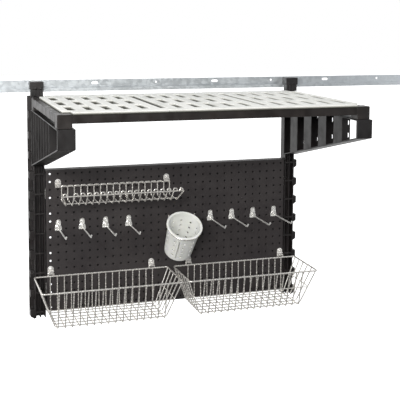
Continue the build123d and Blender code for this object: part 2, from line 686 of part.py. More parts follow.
def basket(side_name, columns):
    """Wire basket with a square rim, upright back, sloping front and ends, and a smaller floor."""
    mid_x = (column_x(columns[0]) + column_x(columns[1])) / 2
    rear = WIRE_PLANE
    front = rear - BASKET_DEPTH
    floor_front = rear - BASKET_FLOOR_DEPTH
    floor_z = BASKET_RIM_Z - BASKET_HEIGHT
    top = BASKET_RIM_Z - WIRE / 2 - 0.2
    low = floor_z + WIRE / 2 + 0.2
    with BuildPart() as rim:
        with BuildSketch(Plane.XY.offset(BASKET_RIM_Z - WIRE / 2)):
            with Locations((mid_x, (rear + front) / 2)):
                Rectangle(BASKET_LENGTH, BASKET_DEPTH + WIRE)
                Rectangle(BASKET_LENGTH - 2 * WIRE, BASKET_DEPTH - WIRE, mode=Mode.SUBTRACT)
        extrude(amount=WIRE)
    write(rim, f"basket_{side_name}_rim")
    with BuildPart() as back:
        with BuildSketch(Plane((mid_x, rear + WIRE / 2, 0), x_dir=(1, 0, 0), z_dir=(0, -1, 0))):
            bars_sketch(BASKET_FLOOR_LENGTH, BASKET_LENGTH - 10, low, top, BASKET_PITCH, BASKET_BARS)
        extrude(amount=WIRE)
    write(back, f"basket_{side_name}_back")
    # The front grille leans: its plane runs from the floor's front edge up to the rim's front rod.
    lean = atan2(floor_front - front, BASKET_HEIGHT)
    with BuildPart() as face:
        leaning = Plane(
            (mid_x, floor_front, floor_z),
            x_dir=(1, 0, 0),
            z_dir=(0, -cos(lean), -sin(lean)),
        )
        with BuildSketch(leaning.offset(-WIRE / 2)):
            bars_sketch(
                BASKET_FLOOR_LENGTH,
                BASKET_LENGTH - 10,
                3.2,
                BASKET_HEIGHT / cos(lean) - 3.4,
                BASKET_PITCH,
                BASKET_BARS,
            )
        extrude(amount=WIRE)
    write(face, f"basket_{side_name}_front")
    splay = atan2((BASKET_LENGTH - BASKET_FLOOR_LENGTH) / 2, BASKET_HEIGHT)
    with BuildPart() as ends:
        for side in (-1, 1):
            leaning = Plane(
                (mid_x + side * (BASKET_FLOOR_LENGTH / 2 + 3.0), (rear + floor_front) / 2, floor_z),
                x_dir=(0, 1, 0),
                z_dir=(side * cos(splay), 0, -sin(splay)),
            )
            height = BASKET_HEIGHT / cos(splay)
            flip = leaning.y_dir.Z > 0
            with BuildSketch(leaning.offset(-WIRE / 2)):
                sign = 1 if flip else -1
                for i in range(6):
                    t = i / 5
                    low_y = (t - 0.5) * (BASKET_FLOOR_DEPTH - 16)
                    high_y = low_y - (1 - t) * (BASKET_DEPTH - BASKET_FLOOR_DEPTH)
                    with BuildLine():
                        Polyline(
                            (low_y - WIRE / 2, sign * 4.0),
                            (low_y + WIRE / 2, sign * 4.0),
                            (high_y + WIRE / 2, sign * (height - 5.0)),
                            (high_y - WIRE / 2, sign * (height - 5.0)),
                            close=True,
                        )
                    make_face()
                with Locations((0, sign * 8.0)):
                    Rectangle(BASKET_FLOOR_DEPTH - 16, WIRE)
                with Locations((-(BASKET_DEPTH - BASKET_FLOOR_DEPTH) / 2, sign * (height - 9.0))):
                    Rectangle(BASKET_DEPTH - 20, WIRE)
            extrude(amount=WIRE)
    write(ends, f"basket_{side_name}_ends")
    with BuildPart() as floor:
        with BuildSketch(Plane((mid_x, rear, floor_z - WIRE / 2), x_dir=(1, 0, 0), z_dir=(0, 0, 1))):
            length = BASKET_FLOOR_LENGTH
            bars_sketch(length, length, -BASKET_FLOOR_DEPTH, 0, BASKET_PITCH, BASKET_BARS)
            with Locations((0, -BASKET_FLOOR_DEPTH / 3), (0, -2 * BASKET_FLOOR_DEPTH / 3)):
                Rectangle(BASKET_FLOOR_LENGTH, WIRE)
        extrude(amount=WIRE)
    write(floor, f"basket_{side_name}_floor")
    rod_z = row_z(BASKET_ROW) - ROD_DROP
    with BuildPart() as hangers:
        for column in columns:
            x = column_x(column)
            with Locations(Location((x, rear, rod_z), (0, 90, 0))):
                Cylinder(WIRE / 2, 22)
            rise = rod_z - BASKET_RIM_Z - WIRE / 2
            with Locations(*[(x + dx, rear, BASKET_RIM_Z + WIRE / 2) for dx in (-9, 9)]):
                Box(WIRE, WIRE, rise, align=(Align.CENTER, Align.CENTER, Align.MIN))
    write(hangers, f"basket_{side_name}_hangers")


def tray_rack():
    """Shallow wire tray: a rear rod in two clips, square-wave wires down, forward and up to a front rod."""
    rod_z = row_z(TRAY_ROW) - ROD_DROP
    rear = WIRE_PLANE
    floor_front = rear - TRAY_FLOOR_DEPTH
    with BuildPart() as back:
        with BuildSketch(Plane((TRAY_X, rear + WIRE / 2, 0), x_dir=(1, 0, 0), z_dir=(0, -1, 0))):
            low = TRAY_FLOOR_Z + WIRE / 2 + 0.2
            bars_sketch(TRAY_LENGTH, TRAY_LENGTH, low, rod_z + WIRE / 2, TRAY_PITCH, TRAY_BARS)
        extrude(amount=WIRE)
        first = column_x(TRAY_COLUMNS[0]) - 10
        last = column_x(TRAY_COLUMNS[1]) + 10
        with Locations(((first + last) / 2, rear, rod_z)):
            Box(last - first, WIRE, WIRE)
    write(back, "tray_back")
    with BuildPart() as floor:
        with BuildSketch(Plane((TRAY_X, rear, TRAY_FLOOR_Z - WIRE / 2), x_dir=(1, 0, 0), z_dir=(0, 0, 1))):
            bars_sketch(TRAY_LENGTH, TRAY_LENGTH, -TRAY_FLOOR_DEPTH, 0, TRAY_PITCH, TRAY_BARS)
        extrude(amount=WIRE)
    write(floor, "tray_floor")
    rise = TRAY_FRONT_Z - TRAY_FLOOR_Z
    run = floor_front - TRAY_FRONT_Y
    lean = atan2(run, rise)
    with BuildPart() as face:
        corner = (TRAY_X, floor_front, TRAY_FLOOR_Z)
        leaning = Plane(corner, x_dir=(1, 0, 0), z_dir=(0, -cos(lean), -sin(lean)))
        with BuildSketch(leaning.offset(-WIRE / 2)):
            bars_sketch(TRAY_LENGTH, TRAY_FRONT_LENGTH, 4.4, hypot(rise, run), TRAY_PITCH, TRAY_BARS)
        extrude(amount=WIRE)
    write(face, "tray_front")


def cup_plane(t):
    """Plane across the cup at height t along its axis, which leans out from the wall."""
    lean = radians(CUP_LEAN)
    axis = (0, -sin(lean), cos(lean))
    origin = (CUP_X, CUP_BASE_Y + t * axis[1], CUP_BASE_Z + t * axis[2])
    return Plane(origin, x_dir=(1, 0, 0), z_dir=axis)


def cup():
    """Tapered perforated cup with a turned-out rim, closed at the bottom."""
    with BuildPart() as beaker:
        with BuildSketch(cup_plane(0)):
            Circle(CUP_BOTTOM_R)
        with BuildSketch(cup_plane(CUP_LENGTH)):
            Circle(CUP_TOP_R)
        loft()
        with BuildSketch(cup_plane(CUP_LENGTH - CUP_FLANGE)):
            Circle(CUP_FLANGE_R)
        extrude(amount=CUP_FLANGE)
        with BuildSketch(cup_plane(CUP_WALL)):
            Circle(CUP_BOTTOM_R - CUP_WALL)
        with BuildSketch(cup_plane(CUP_LENGTH + 0.5)):
            Circle(CUP_TOP_R - CUP_WALL)
        loft(mode=Mode.SUBTRACT)
        # Ten columns of drain holes round the wall, at four levels.
        for level in range(CUP_LEVELS):
            ring = cup_plane(CUP_FIRST_LEVEL + CUP_LEVEL_STEP * level)
            for turn in range(CUP_COLUMNS):
                angle = radians(360 / CUP_COLUMNS * turn + CUP_COLUMN_START)
                direction = ring.x_dir * cos(angle) + ring.y_dir * sin(angle)
                with BuildSketch(Plane(ring.origin + direction * 30, z_dir=direction)):
                    Circle(CUP_HOLE_R)
                extrude(amount=CUP_FLANGE_R - 30, mode=Mode.SUBTRACT)
        # Slot down the front of the wall, between two columns of holes.
        slot_angle = radians(CUP_SLOT_ANGLE)
        middle = cup_plane(CUP_LENGTH / 2)
        direction = middle.x_dir * cos(slot_angle) + middle.y_dir * sin(slot_angle)
        with BuildSketch(Plane(middle.origin + direction * 30, x_dir=middle.z_dir, z_dir=direction)):
            SlotOverall(CUP_SLOT_LENGTH, CUP_SLOT_WIDTH)
        extrude(amount=CUP_FLANGE_R - 30, mode=Mode.SUBTRACT)
    write(beaker, "cup")


def cup_holder():
    """Wall plate and a wire ring on two arms; the cup's rim rests on the ring."""
    with BuildPart() as plate:
        middle = (HOLDER_PLATE_X, PANEL_FRONT, HOLDER_PLATE_Z)
        screw_z = row_z(7) - HOLDER_PLATE_Z
        with BuildSketch(Plane(middle, x_dir=(1, 0, 0), z_dir=(0, -1, 0))):
            RectangleRounded(HOLDER_PLATE_WIDTH, HOLDER_PLATE_HEIGHT, 6)
            with Locations(*[(column_x(c) - HOLDER_PLATE_X, screw_z) for c in HOLDER_COLUMNS]):
                Circle(SCREW_R + 0.3, mode=Mode.SUBTRACT)
        extrude(amount=CLIP_SHEET)
    write(plate, "cup_holder_plate")
    ring_r = CUP_BOTTOM_R + (CUP_TOP_R - CUP_BOTTOM_R) * RING_T / CUP_LENGTH + 0.5 + RING_WIRE_R
    plane = cup_plane(RING_T)
    with BuildPart() as ring:
        with BuildSketch(Plane(plane.origin + plane.x_dir * ring_r, x_dir=plane.x_dir, z_dir=plane.y_dir)):
            Circle(RING_WIRE_R)
        revolve(axis=Axis(plane.origin, plane.z_dir))
        for s in (-1, 1):
            start = plane.origin + plane.x_dir * (s * ring_r * 0.7071) + plane.y_dir * (ring_r * 0.7071)
            end = Vector(HOLDER_PLATE_X + s * HOLDER_ARM_HALF, PANEL_FRONT - 1.2, HOLDER_PLATE_Z - 6)
            along = (end - start).normalized()
            with BuildSketch(Plane(start - along, z_dir=along)):
                Circle(RING_WIRE_R - 0.3)
            extrude(amount=(end - start).length + 1)
    write(ring, "cup_ring")


wall_rail()
for side_name, side in SIDES:
    upright(side_name, side)
    hanger(side_name, side)
    bracket(side_name, side)
pegboard_panel()
stiffener("panel_stiffener_upper", STIFFENER_ROWS[0])
stiffener("panel_stiffener_lower", STIFFENER_ROWS[1])
backing()
panel_clips()
screw_group(
    "panel_screws",
    [(x, row_z(r)) for x in (-PANEL_SCREW_X, PANEL_SCREW_X) for r in STIFFENER_ROWS],
    PANEL_FRONT,
    8.0,
)
screw_group(
    "hanger_screws",
    [(s * POST_X + x, HEAD_BOTTOM - 4) for _, s in SIDES for x in (-8, 8)],
    -POST_DEPTH,
    16.0,
)
clip_places = [(c, TRAY_ROW) for c in TRAY_COLUMNS]
basket_places = [(c, BASKET_ROW) for pair in BASKET_COLUMNS for c in pair]
wire_clips("tray_clips", clip_places)
wire_clips("basket_clips", basket_places)
screw_group(
    "clip_screws",
    [(column_x(c), row_z(r)) for c, r in clip_places + basket_places + [(c, 7) for c in HOLDER_COLUMNS]],
    PANEL_FRONT - CLIP_SHEET,
    7.0,
)
shelf_frame()
mat("mat_left", -MAT_HALF, -MAT_JOINT, -1)
mat("mat_centre", -MAT_JOINT, MAT_JOINT, 0)
mat("mat_right", MAT_JOINT, MAT_HALF, 1)
for number, column in enumerate(HOOK_COLUMNS, start=1):
    hook(number, column)
for (side_name, _), columns in zip(SIDES, BASKET_COLUMNS):
    basket(side_name, columns)
tray_rack()
cup()
cup_holder()
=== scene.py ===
from math import cos, hypot, pi, radians, sin, tan

import bmesh
import bpy
from mathutils import Matrix, Vector


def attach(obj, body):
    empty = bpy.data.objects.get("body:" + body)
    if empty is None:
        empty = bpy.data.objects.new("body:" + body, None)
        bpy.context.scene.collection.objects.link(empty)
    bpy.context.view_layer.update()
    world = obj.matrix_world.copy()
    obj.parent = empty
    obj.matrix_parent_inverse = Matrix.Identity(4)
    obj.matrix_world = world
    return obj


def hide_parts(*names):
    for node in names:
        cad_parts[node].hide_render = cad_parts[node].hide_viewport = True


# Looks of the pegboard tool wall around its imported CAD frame. Pieces are drawn in millimetres of the row
# frame and scaled to metres where they are made.
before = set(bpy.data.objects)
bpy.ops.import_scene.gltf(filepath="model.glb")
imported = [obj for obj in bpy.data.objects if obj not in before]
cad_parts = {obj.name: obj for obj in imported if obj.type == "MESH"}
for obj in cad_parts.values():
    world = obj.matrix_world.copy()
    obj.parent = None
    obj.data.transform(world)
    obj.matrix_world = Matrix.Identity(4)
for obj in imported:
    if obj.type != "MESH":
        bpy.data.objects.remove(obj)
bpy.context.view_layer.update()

MM = 0.001
PITCH = 25.4
COLUMNS = 32
ROWS = 18
TOP_ROW_Z = -276.0
PANEL_FRONT = -39.0
PANEL_SHEET = 1.2
PANEL_BACK = -5.0
PANEL_FOLD = 2.4
PEG_HOLE_R = 3.2
WIRE_PLANE = -47.0
ROD_DROP = 12.6
WIRE_R = 2.0
SIDES = (("left", -1), ("right", 1))
HOOK_COLUMNS = (1, 4, 7, 10, 21, 24, 27, 30)
BASKETS = (("left", (0, 13)), ("right", (18, 31)))
TRAY_COLUMNS = (1, 15)


def column_x(column):
    return (column - (COLUMNS - 1) / 2) * PITCH


def row_z(row):
    return TOP_ROW_Z - row * PITCH


# ---------------------------------------------------------------- materials


def new_material(name, metallic=0.0, roughness=0.5, coat=0.0, specular=0.5):
    """A Principled material with its constants set, returned with its node tree and shader."""
    made = bpy.data.materials.new(name)
    made.use_nodes = True
    tree = made.node_tree
    shader = tree.nodes["Principled BSDF"]
    shader.inputs["Metallic"].default_value = metallic
    shader.inputs["Roughness"].default_value = roughness
    shader.inputs["Coat Weight"].default_value = coat
    shader.inputs["Coat Roughness"].default_value = 0.25
    shader.inputs["Specular IOR Level"].default_value = specular
    return made, tree, shader


def noise(tree, scale, detail=3.0, stretch=(1.0, 1.0, 1.0)):
    """Noise over the row frame, in cells per metre, stretched along each axis."""
    coords = tree.nodes.new("ShaderNodeTexCoord")
    mapping = tree.nodes.new("ShaderNodeMapping")
    mapping.inputs["Scale"].default_value = stretch
    texture = tree.nodes.new("ShaderNodeTexNoise")
    texture.inputs["Scale"].default_value = scale
    texture.inputs["Detail"].default_value = detail
    tree.links.new(coords.outputs["Object"], mapping.inputs["Vector"])
    tree.links.new(mapping.outputs["Vector"], texture.inputs["Vector"])
    return texture.outputs["Fac"]


def spangle(tree, scale):
    """Crystal cells of a zinc coating: one random grey value for each cell."""
    coords = tree.nodes.new("ShaderNodeTexCoord")
    texture = tree.nodes.new("ShaderNodeTexVoronoi")
    texture.inputs["Scale"].default_value = scale
    tree.links.new(coords.outputs["Object"], texture.inputs["Vector"])
    split = tree.nodes.new("ShaderNodeSeparateColor")
    tree.links.new(texture.outputs["Color"], split.inputs["Color"])
    return split.outputs["Red"]


def ramp(tree, factor, *stops):
    """Colour ramp through (place, colour) stops."""
    node = tree.nodes.new("ShaderNodeValToRGB")
    elements = node.color_ramp.elements
    while len(elements) < len(stops):
        elements.new(0.5)
    for element, (place, colour) in zip(elements, stops):
        element.position = place
        element.color = (*colour, 1.0)
    tree.links.new(factor, node.inputs["Fac"])
    return node.outputs["Color"]


def mixed(tree, factor, first, second, blend="MIX"):
    node = tree.nodes.new("ShaderNodeMix")
    node.data_type = "RGBA"
    node.blend_type = blend
    colours = [s for s in node.inputs if s.type == "RGBA"]
    for socket, value in zip((node.inputs["Factor"], *colours), (factor, first, second)):
        if isinstance(value, bpy.types.NodeSocket):
            tree.links.new(value, socket)
        else:
            socket.default_value = value
    return next(s for s in node.outputs if s.type == "RGBA")


def span(tree, factor, low, high):
    """A value from low to high as the factor goes from 0.3 to 0.7, where noise has most of its range."""
    node = tree.nodes.new("ShaderNodeMapRange")
    node.inputs["From Min"].default_value = 0.3
    node.inputs["From Max"].default_value = 0.7
    node.inputs["To Min"].default_value = low
    node.inputs["To Max"].default_value = high
    tree.links.new(factor, node.inputs["Value"])
    return node.outputs["Result"]


def below_top(tree, top, bottom, tone):
    """White at the top height, falling to a dark tone at the bottom height, in metres: painted shade."""
    coords = tree.nodes.new("ShaderNodeTexCoord")
    split = tree.nodes.new("ShaderNodeSeparateXYZ")
    height = tree.nodes.new("ShaderNodeMapRange")
    height.inputs["From Min"].default_value = bottom
    height.inputs["From Max"].default_value = top
    tree.links.new(coords.outputs["Object"], split.inputs["Vector"])
    tree.links.new(split.outputs["Z"], height.inputs["Value"])
    return ramp(tree, height.outputs["Result"], (0.0, tone), (1.0, (1.0, 1.0, 1.0)))


def bump(tree, shader, height, strength, distance):
    node = tree.nodes.new("ShaderNodeBump")
    node.inputs["Strength"].default_value = strength
    node.inputs["Distance"].default_value = distance
    tree.links.new(height, node.inputs["Height"])
    tree.links.new(node.outputs["Normal"], shader.inputs["Normal"])


def galvanised():
    """Zinc-dipped sheet: bluish grey, crystals of slightly different tone, soft streaks along the rail."""
    made, tree, shader = new_material("galvanised_steel", metallic=0.85)
    crystals = ramp(tree, spangle(tree, 95.0), (0.0, (0.56, 0.59, 0.61)), (1.0, (0.66, 0.69, 0.71)))
    streaks = ramp(
        tree, noise(tree, 14.0, 4.0, (0.25, 1.0, 1.0)),
        (0.3, (0.90, 0.91, 0.92)), (0.7, (1.0, 1.0, 1.0)),
    )
    tree.links.new(mixed(tree, 1.0, crystals, streaks, "MULTIPLY"), shader.inputs["Base Color"])
    tree.links.new(span(tree, spangle(tree, 95.0), 0.38, 0.48), shader.inputs["Roughness"])
    bump(tree, shader, noise(tree, 260.0, 3.0), 0.12, 0.0004)
    return made


def black_plastic(name, dark, light, roughness):
    """Glass-filled moulding: warm black, faintly mottled, with a fine leathery grain."""
    made, tree, shader = new_material(name, roughness=roughness, specular=0.55)
    tone = ramp(tree, noise(tree, 22.0, 4.0), (0.35, dark), (0.72, light))
    flow = ramp(
        tree, noise(tree, 60.0, 2.0, (1.0, 1.0, 0.15)),
        (0.35, (0.8, 0.8, 0.8)), (0.65, (1.0, 1.0, 1.0)),
    )
    tree.links.new(mixed(tree, 1.0, tone, flow, "MULTIPLY"), shader.inputs["Base Color"])
    gloss = span(tree, noise(tree, 35.0, 3.0), roughness - 0.07, roughness + 0.1)
    tree.links.new(gloss, shader.inputs["Roughness"])
    bump(tree, shader, noise(tree, 1400.0, 2.0), 0.25, 0.0002)
    return made


def powder_coat():
    """Charcoal powder coat: orange peel at the millimetre scale and faint cloudy tone."""
    made, tree, shader = new_material("panel_coating", roughness=0.5, specular=0.5)
    tone = ramp(
        tree, noise(tree, 9.0, 5.0),
        (0.32, (0.022, 0.018, 0.019)), (0.68, (0.034, 0.029, 0.029)),
    )
    fleck = ramp(tree, noise(tree, 900.0, 2.0), (0.45, (0.84, 0.84, 0.84)), (0.62, (1.15, 1.12, 1.12)))
    tree.links.new(mixed(tree, 1.0, tone, fleck, "MULTIPLY"), shader.inputs["Base Color"])
    tree.links.new(span(tree, noise(tree, 45.0, 3.0), 0.42, 0.58), shader.inputs["Roughness"])
    bump(tree, shader, noise(tree, 620.0, 2.0), 0.35, 0.0003)
    return made


def ivory_plastic():
    """Pale moulded mat: cream with faint grey marbling, a matt tooled surface, and painted shade below the
    top.
    """
    made, tree, shader = new_material("ivory_mat", roughness=0.45, specular=0.45)
    marble = ramp(
        tree, noise(tree, 16.0, 6.0, (1.0, 0.4, 1.0)),
        (0.3, (0.70, 0.70, 0.66)), (0.5, (0.86, 0.86, 0.82)), (0.75, (0.90, 0.89, 0.85)),
    )
    speck = ramp(tree, noise(tree, 700.0, 1.0), (0.25, (0.86, 0.86, 0.85)), (0.42, (1.0, 1.0, 1.0)))
    surface = mixed(tree, 1.0, marble, speck, "MULTIPLY")
    # Painted shade: the mat darkens with depth below its top surface, down the walls of its slots.
    painted_slot_shade = below_top(tree, -0.0278, -0.0330, (0.09, 0.09, 0.075))
    tree.links.new(mixed(tree, 1.0, surface, painted_slot_shade, "MULTIPLY"), shader.inputs["Base Color"])
    tree.links.new(span(tree, noise(tree, 30.0, 3.0), 0.36, 0.55), shader.inputs["Roughness"])
    bump(tree, shader, noise(tree, 480.0, 2.0), 0.2, 0.0003)
    return made


def plated(name, dark, light, rough, grain, metallic=0.6):
    """Bright satin plating: a warm metal whose tone and gloss wander a little along the piece."""
    made, tree, shader = new_material(name, metallic=metallic)
    tone = ramp(tree, noise(tree, grain, 4.0), (0.3, dark), (0.7, light))
    tree.links.new(tone, shader.inputs["Base Color"])
    tree.links.new(span(tree, noise(tree, 3 * grain, 2.0), *rough), shader.inputs["Roughness"])
    bump(tree, shader, noise(tree, 900.0, 2.0), 0.08, 0.0002)
    return made


def cup_white():
    """Off-white polypropylene: slightly translucent, satin, with a faint moulding grain."""
    made, tree, shader = new_material("cup_plastic", roughness=0.42, specular=0.4)
    tone = ramp(
        tree, noise(tree, 26.0, 4.0),
        (0.3, (0.76, 0.77, 0.74)), (0.7, (0.86, 0.86, 0.83)),
    )
    tree.links.new(tone, shader.inputs["Base Color"])
    shader.inputs["Subsurface Weight"].default_value = 0.15
    shader.inputs["Subsurface Radius"].default_value = (0.004, 0.004, 0.003)
    tree.links.new(span(tree, noise(tree, 50.0, 3.0), 0.36, 0.5), shader.inputs["Roughness"])
    bump(tree, shader, noise(tree, 700.0, 2.0), 0.15, 0.0002)
    return made


LOOKS = {
    "galvanised_steel": galvanised(),
    "black_moulding": black_plastic("black_moulding", (0.009, 0.007, 0.007), (0.018, 0.014, 0.014), 0.40),
    "shelf_moulding": black_plastic("shelf_moulding", (0.012, 0.009, 0.008), (0.023, 0.018, 0.016), 0.36),
    "ivory_mat": ivory_plastic(),
    "panel_coating": powder_coat(),
    # A darker copy of the black moulding, for the brackets only: painted shade, since the brackets are the
    # same plastic as the uprights.
    "bracket_moulding_painted_shade": black_plastic(
        "bracket_moulding_painted_shade", (0.007, 0.0055, 0.0055), (0.013, 0.011, 0.011), 0.40
    ),
    # Painted shade: the backing sheet is made near black so that the peg holes in front of it read dark,
    # standing for the shade behind the panel.
    "backing_painted_shade": black_plastic("backing_painted_shade", (0.002, 0.002, 0.002), (0.004, 0.0035, 0.0035), 0.8),
    "zinc_hook": plated("zinc_hook", (0.90, 0.89, 0.86), (1.0, 0.99, 0.96), (0.20, 0.34), 120.0, 0.62),
    "zinc_clip": plated("zinc_clip", (0.90, 0.88, 0.85), (1.0, 0.98, 0.95), (0.20, 0.34), 120.0, 0.62),
    "plated_wire": plated("plated_wire", (0.84, 0.81, 0.76), (0.97, 0.94, 0.90), (0.18, 0.32), 70.0, 0.72),
    "cup_plastic": cup_white(),
}


# ---------------------------------------------------------------- making pieces


def finish_piece(name, mesh, slot, body, replaced=(), sharp=32.0, look=None):
    """An object of that mesh, smooth but for its sharp edges, riding on its body."""
    mesh.polygons.foreach_set("use_smooth", [True] * len(mesh.polygons))
    mesh.set_sharp_from_angle(angle=radians(sharp))
    piece = bpy.data.objects.new(name, mesh)
    bpy.context.scene.collection.objects.link(piece)
    mesh.materials.clear()
    mesh.materials.append(LOOKS[look or slot])
    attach(piece, body)
    if replaced:
        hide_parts(*replaced)
    return piece


def mesh_from(name, build):
    """A mesh in metres from a bmesh drawn in millimetres."""
    bmesh.ops.remove_doubles(build, verts=build.verts, dist=0.01)
    bmesh.ops.recalc_face_normals(build, faces=build.faces)
    bmesh.ops.scale(build, vec=(MM, MM, MM), verts=build.verts)
    mesh = bpy.data.meshes.new(name)
    build.to_mesh(mesh)
    build.free()
    return mesh


def rounded(points, radius, closed=False, steps=5):
    """The polyline with each corner eased into a bend, as large as its two runs allow."""
    points = [Vector(p) for p in points]
    line = []
    for i, corner in enumerate(points):
        ahead = points[(i + 1) % len(points)]
        if not closed and i in (0, len(points) - 1):
            line.append(corner)
            continue
        back, on = points[i - 1] - corner, ahead - corner
        turn = pi - back.angle(on)
        reach = min(radius * tan(turn / 2), 0.45 * back.length, 0.45 * on.length)
        start, end = corner + back.normalized() * reach, corner + on.normalized() * reach
        for k in range(steps + 1):
            t = k / steps
            line.append(start * (1 - t) ** 2 + corner * 2 * t * (1 - t) + end * t**2)
    return line


def wire_mesh(name, wires, resolution=3):
    """Round wires as one mesh. Each wire is (points, radius, closed), in millimetres."""
    curve = bpy.data.curves.new(name, "CURVE")
    curve.dimensions = "3D"
    curve.bevel_depth = 1.0
    curve.bevel_resolution = resolution
    curve.use_fill_caps = True
    for points, radius, closed in wires:
        spline = curve.splines.new("POLY")
        spline.points.add(len(points) - 1)
        for point, place in zip(spline.points, points):
            point.co = (*place, 1.0)
            point.radius = radius
        spline.use_cyclic_u = closed
    drawn = bpy.data.objects.new(name, curve)
    mesh = bpy.data.meshes.new_from_object(drawn)
    bpy.data.objects.remove(drawn)
    bpy.data.curves.remove(curve)
    mesh.transform(Matrix.Scale(MM, 4))
    mesh.name = name
    return mesh


def softened(node, slot, body, width, segments=2, sharp=28.0, look=None):
    """A copy of a CAD node with its moulded or rolled edges rounded, standing for that node."""
    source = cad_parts[node].data
    build = bmesh.new()
    corners = [build.verts.new(v.co) for v in source.vertices]
    for polygon in source.polygons:
        try:
            build.faces.new([corners[i] for i in polygon.vertices])
        except ValueError:
            continue
    bmesh.ops.remove_doubles(build, verts=build.verts, dist=1e-6)
    bmesh.ops.dissolve_limit(build, angle_limit=radians(0.4), verts=build.verts, edges=build.edges)
    edges = [e for e in build.edges if len(e.link_faces) == 2 and e.calc_face_angle(0.0) > radians(sharp)]
    bmesh.ops.bevel(
        build, geom=edges, offset=width * MM, segments=segments, profile=0.5, affect="EDGES",
        clamp_overlap=False,
    )
    mesh = bpy.data.meshes.new(node + "_shape")
    build.to_mesh(mesh)
    build.free()
    piece = finish_piece(node + "_shape", mesh, slot, body, (node,), 50.0, look)
    weighted = piece.modifiers.new("even faces", "WEIGHTED_NORMAL")
    weighted.keep_sharp = True
    return piece


def revolved(build, profile, centre, axis, segments=32):
    """Adds a surface of revolution: profile is (radius, height) pairs along the axis from the centre."""
    axis = Vector(axis).normalized()
    side = axis.orthogonal().normalized()
    other = axis.cross(side)
    rings = []
    for radius, height in profile:
        middle = Vector(centre) + axis * height
        if radius < 1e-6:
            rings.append([build.verts.new(middle)])
            continue
        turns = [2 * pi * k / segments for k in range(segments)]
        rings.append([build.verts.new(middle + (side * cos(a) + other * sin(a)) * radius) for a in turns])
    join_rings(build, rings)
    return rings


def join_rings(build, rings):
    """Faces between rings of one vertex or of equal count, each joined to the next."""
    for first, second in zip(rings, rings[1:]):
        count = max(len(first), len(second))
        for k in range(count):
            after = (k + 1) % count
            if len(first) == 1:
                build.faces.new((first[0], second[after], second[k]))
            elif len(second) == 1:
                build.faces.new((first[k], first[after], second[0]))
            else:
                build.faces.new((first[k], first[after], second[after], second[k]))


# ---------------------------------------------------------------- screws


def pan_head(build, x, front, z, radius=4.2, height=2.4):
    """Domed screw head facing the room, with a cross recess."""
    facing = Vector((0, -1, 0))
    profile = [(0.45 * radius, -1.0), (radius, -0.2), (radius, 0.35 * height), (0.86 * radius, 0.75 * height)]
    rings = revolved(build, profile, (x, front, z), facing, 16)
    star = []
    for depth, long_arm, short_arm in ((0.98 * height, 0.55, 0.28), (0.45 * height, 0.42, 0.18)):
        ring = []
        for k in range(16):
            # Two vertices out of four stand at the end of an arm, the others in the notch between arms.
            reach = radius * (long_arm if k % 4 in (0, 1) else short_arm)
            angle = 2 * pi * k / 16
            direction = facing.orthogonal().normalized()
            other = facing.cross(direction)
            ring.append(build.verts.new(
                Vector((x, front, z)) + (direction * cos(angle) + other * sin(angle)) * reach + facing * depth
            ))
        star.append(ring)
    bottom = [build.verts.new(Vector((x, front, z)) + facing * (0.4 * height))]
    join_rings(build, [rings[-1], *star, bottom])


def screws(name, places, front, node, slot="zinc_clip", look=None):
    build = bmesh.new()
    for x, z in places:
        pan_head(build, x, front, z)
        revolved(build, [(0.0, -6.5), (1.2, -6.0), (2.0, -4.5), (2.0, -0.2)], (x, front, z), (0, -1, 0), 12)
    finish_piece(name, mesh_from(name, build), slot, "unit", (node,), 40.0, look)


# ---------------------------------------------------------------- perforated sheets


def square_reach(angle):
    """How far a unit square's edge lies from its middle in that direction."""
    return 1.0 / max(abs(cos(angle)), abs(sin(angle)))


def sheet_cell(build, place, middle, half, hole, lip):
    """One cell of a sheet between two faces, with a hole whose two edges are rolled, or with none.

    place(u, v, depth) gives a point of the sheet, depth 0 at the front and 1 at the back.
    """
    count = 16
    angles = [2 * pi * k / count for k in range(count)]
    faces = []
    for depth in (0.0, 1.0):
        edge = []
        for a in angles:
            reach = square_reach(a)
            u, v = middle[0] + half[0] * reach * cos(a), middle[1] + half[1] * reach * sin(a)
            edge.append(build.verts.new(place(u, v, depth)))
        if not hole:
            centre = build.verts.new(place(*middle, depth))
            join_rings(build, [edge, [centre]])
            continue
        wide = hole + lip
        outer = [
            build.verts.new(place(middle[0] + wide * cos(a), middle[1] + wide * sin(a), depth))
            for a in angles
        ]
        inner_depth = 0.25 if depth == 0.0 else 0.75
        inner = [
            build.verts.new(place(middle[0] + hole * cos(a), middle[1] + hole * sin(a), inner_depth))
            for a in angles
        ]
        join_rings(build, [edge, outer, inner])
        faces.append(inner)
    if hole:
        join_rings(build, faces)


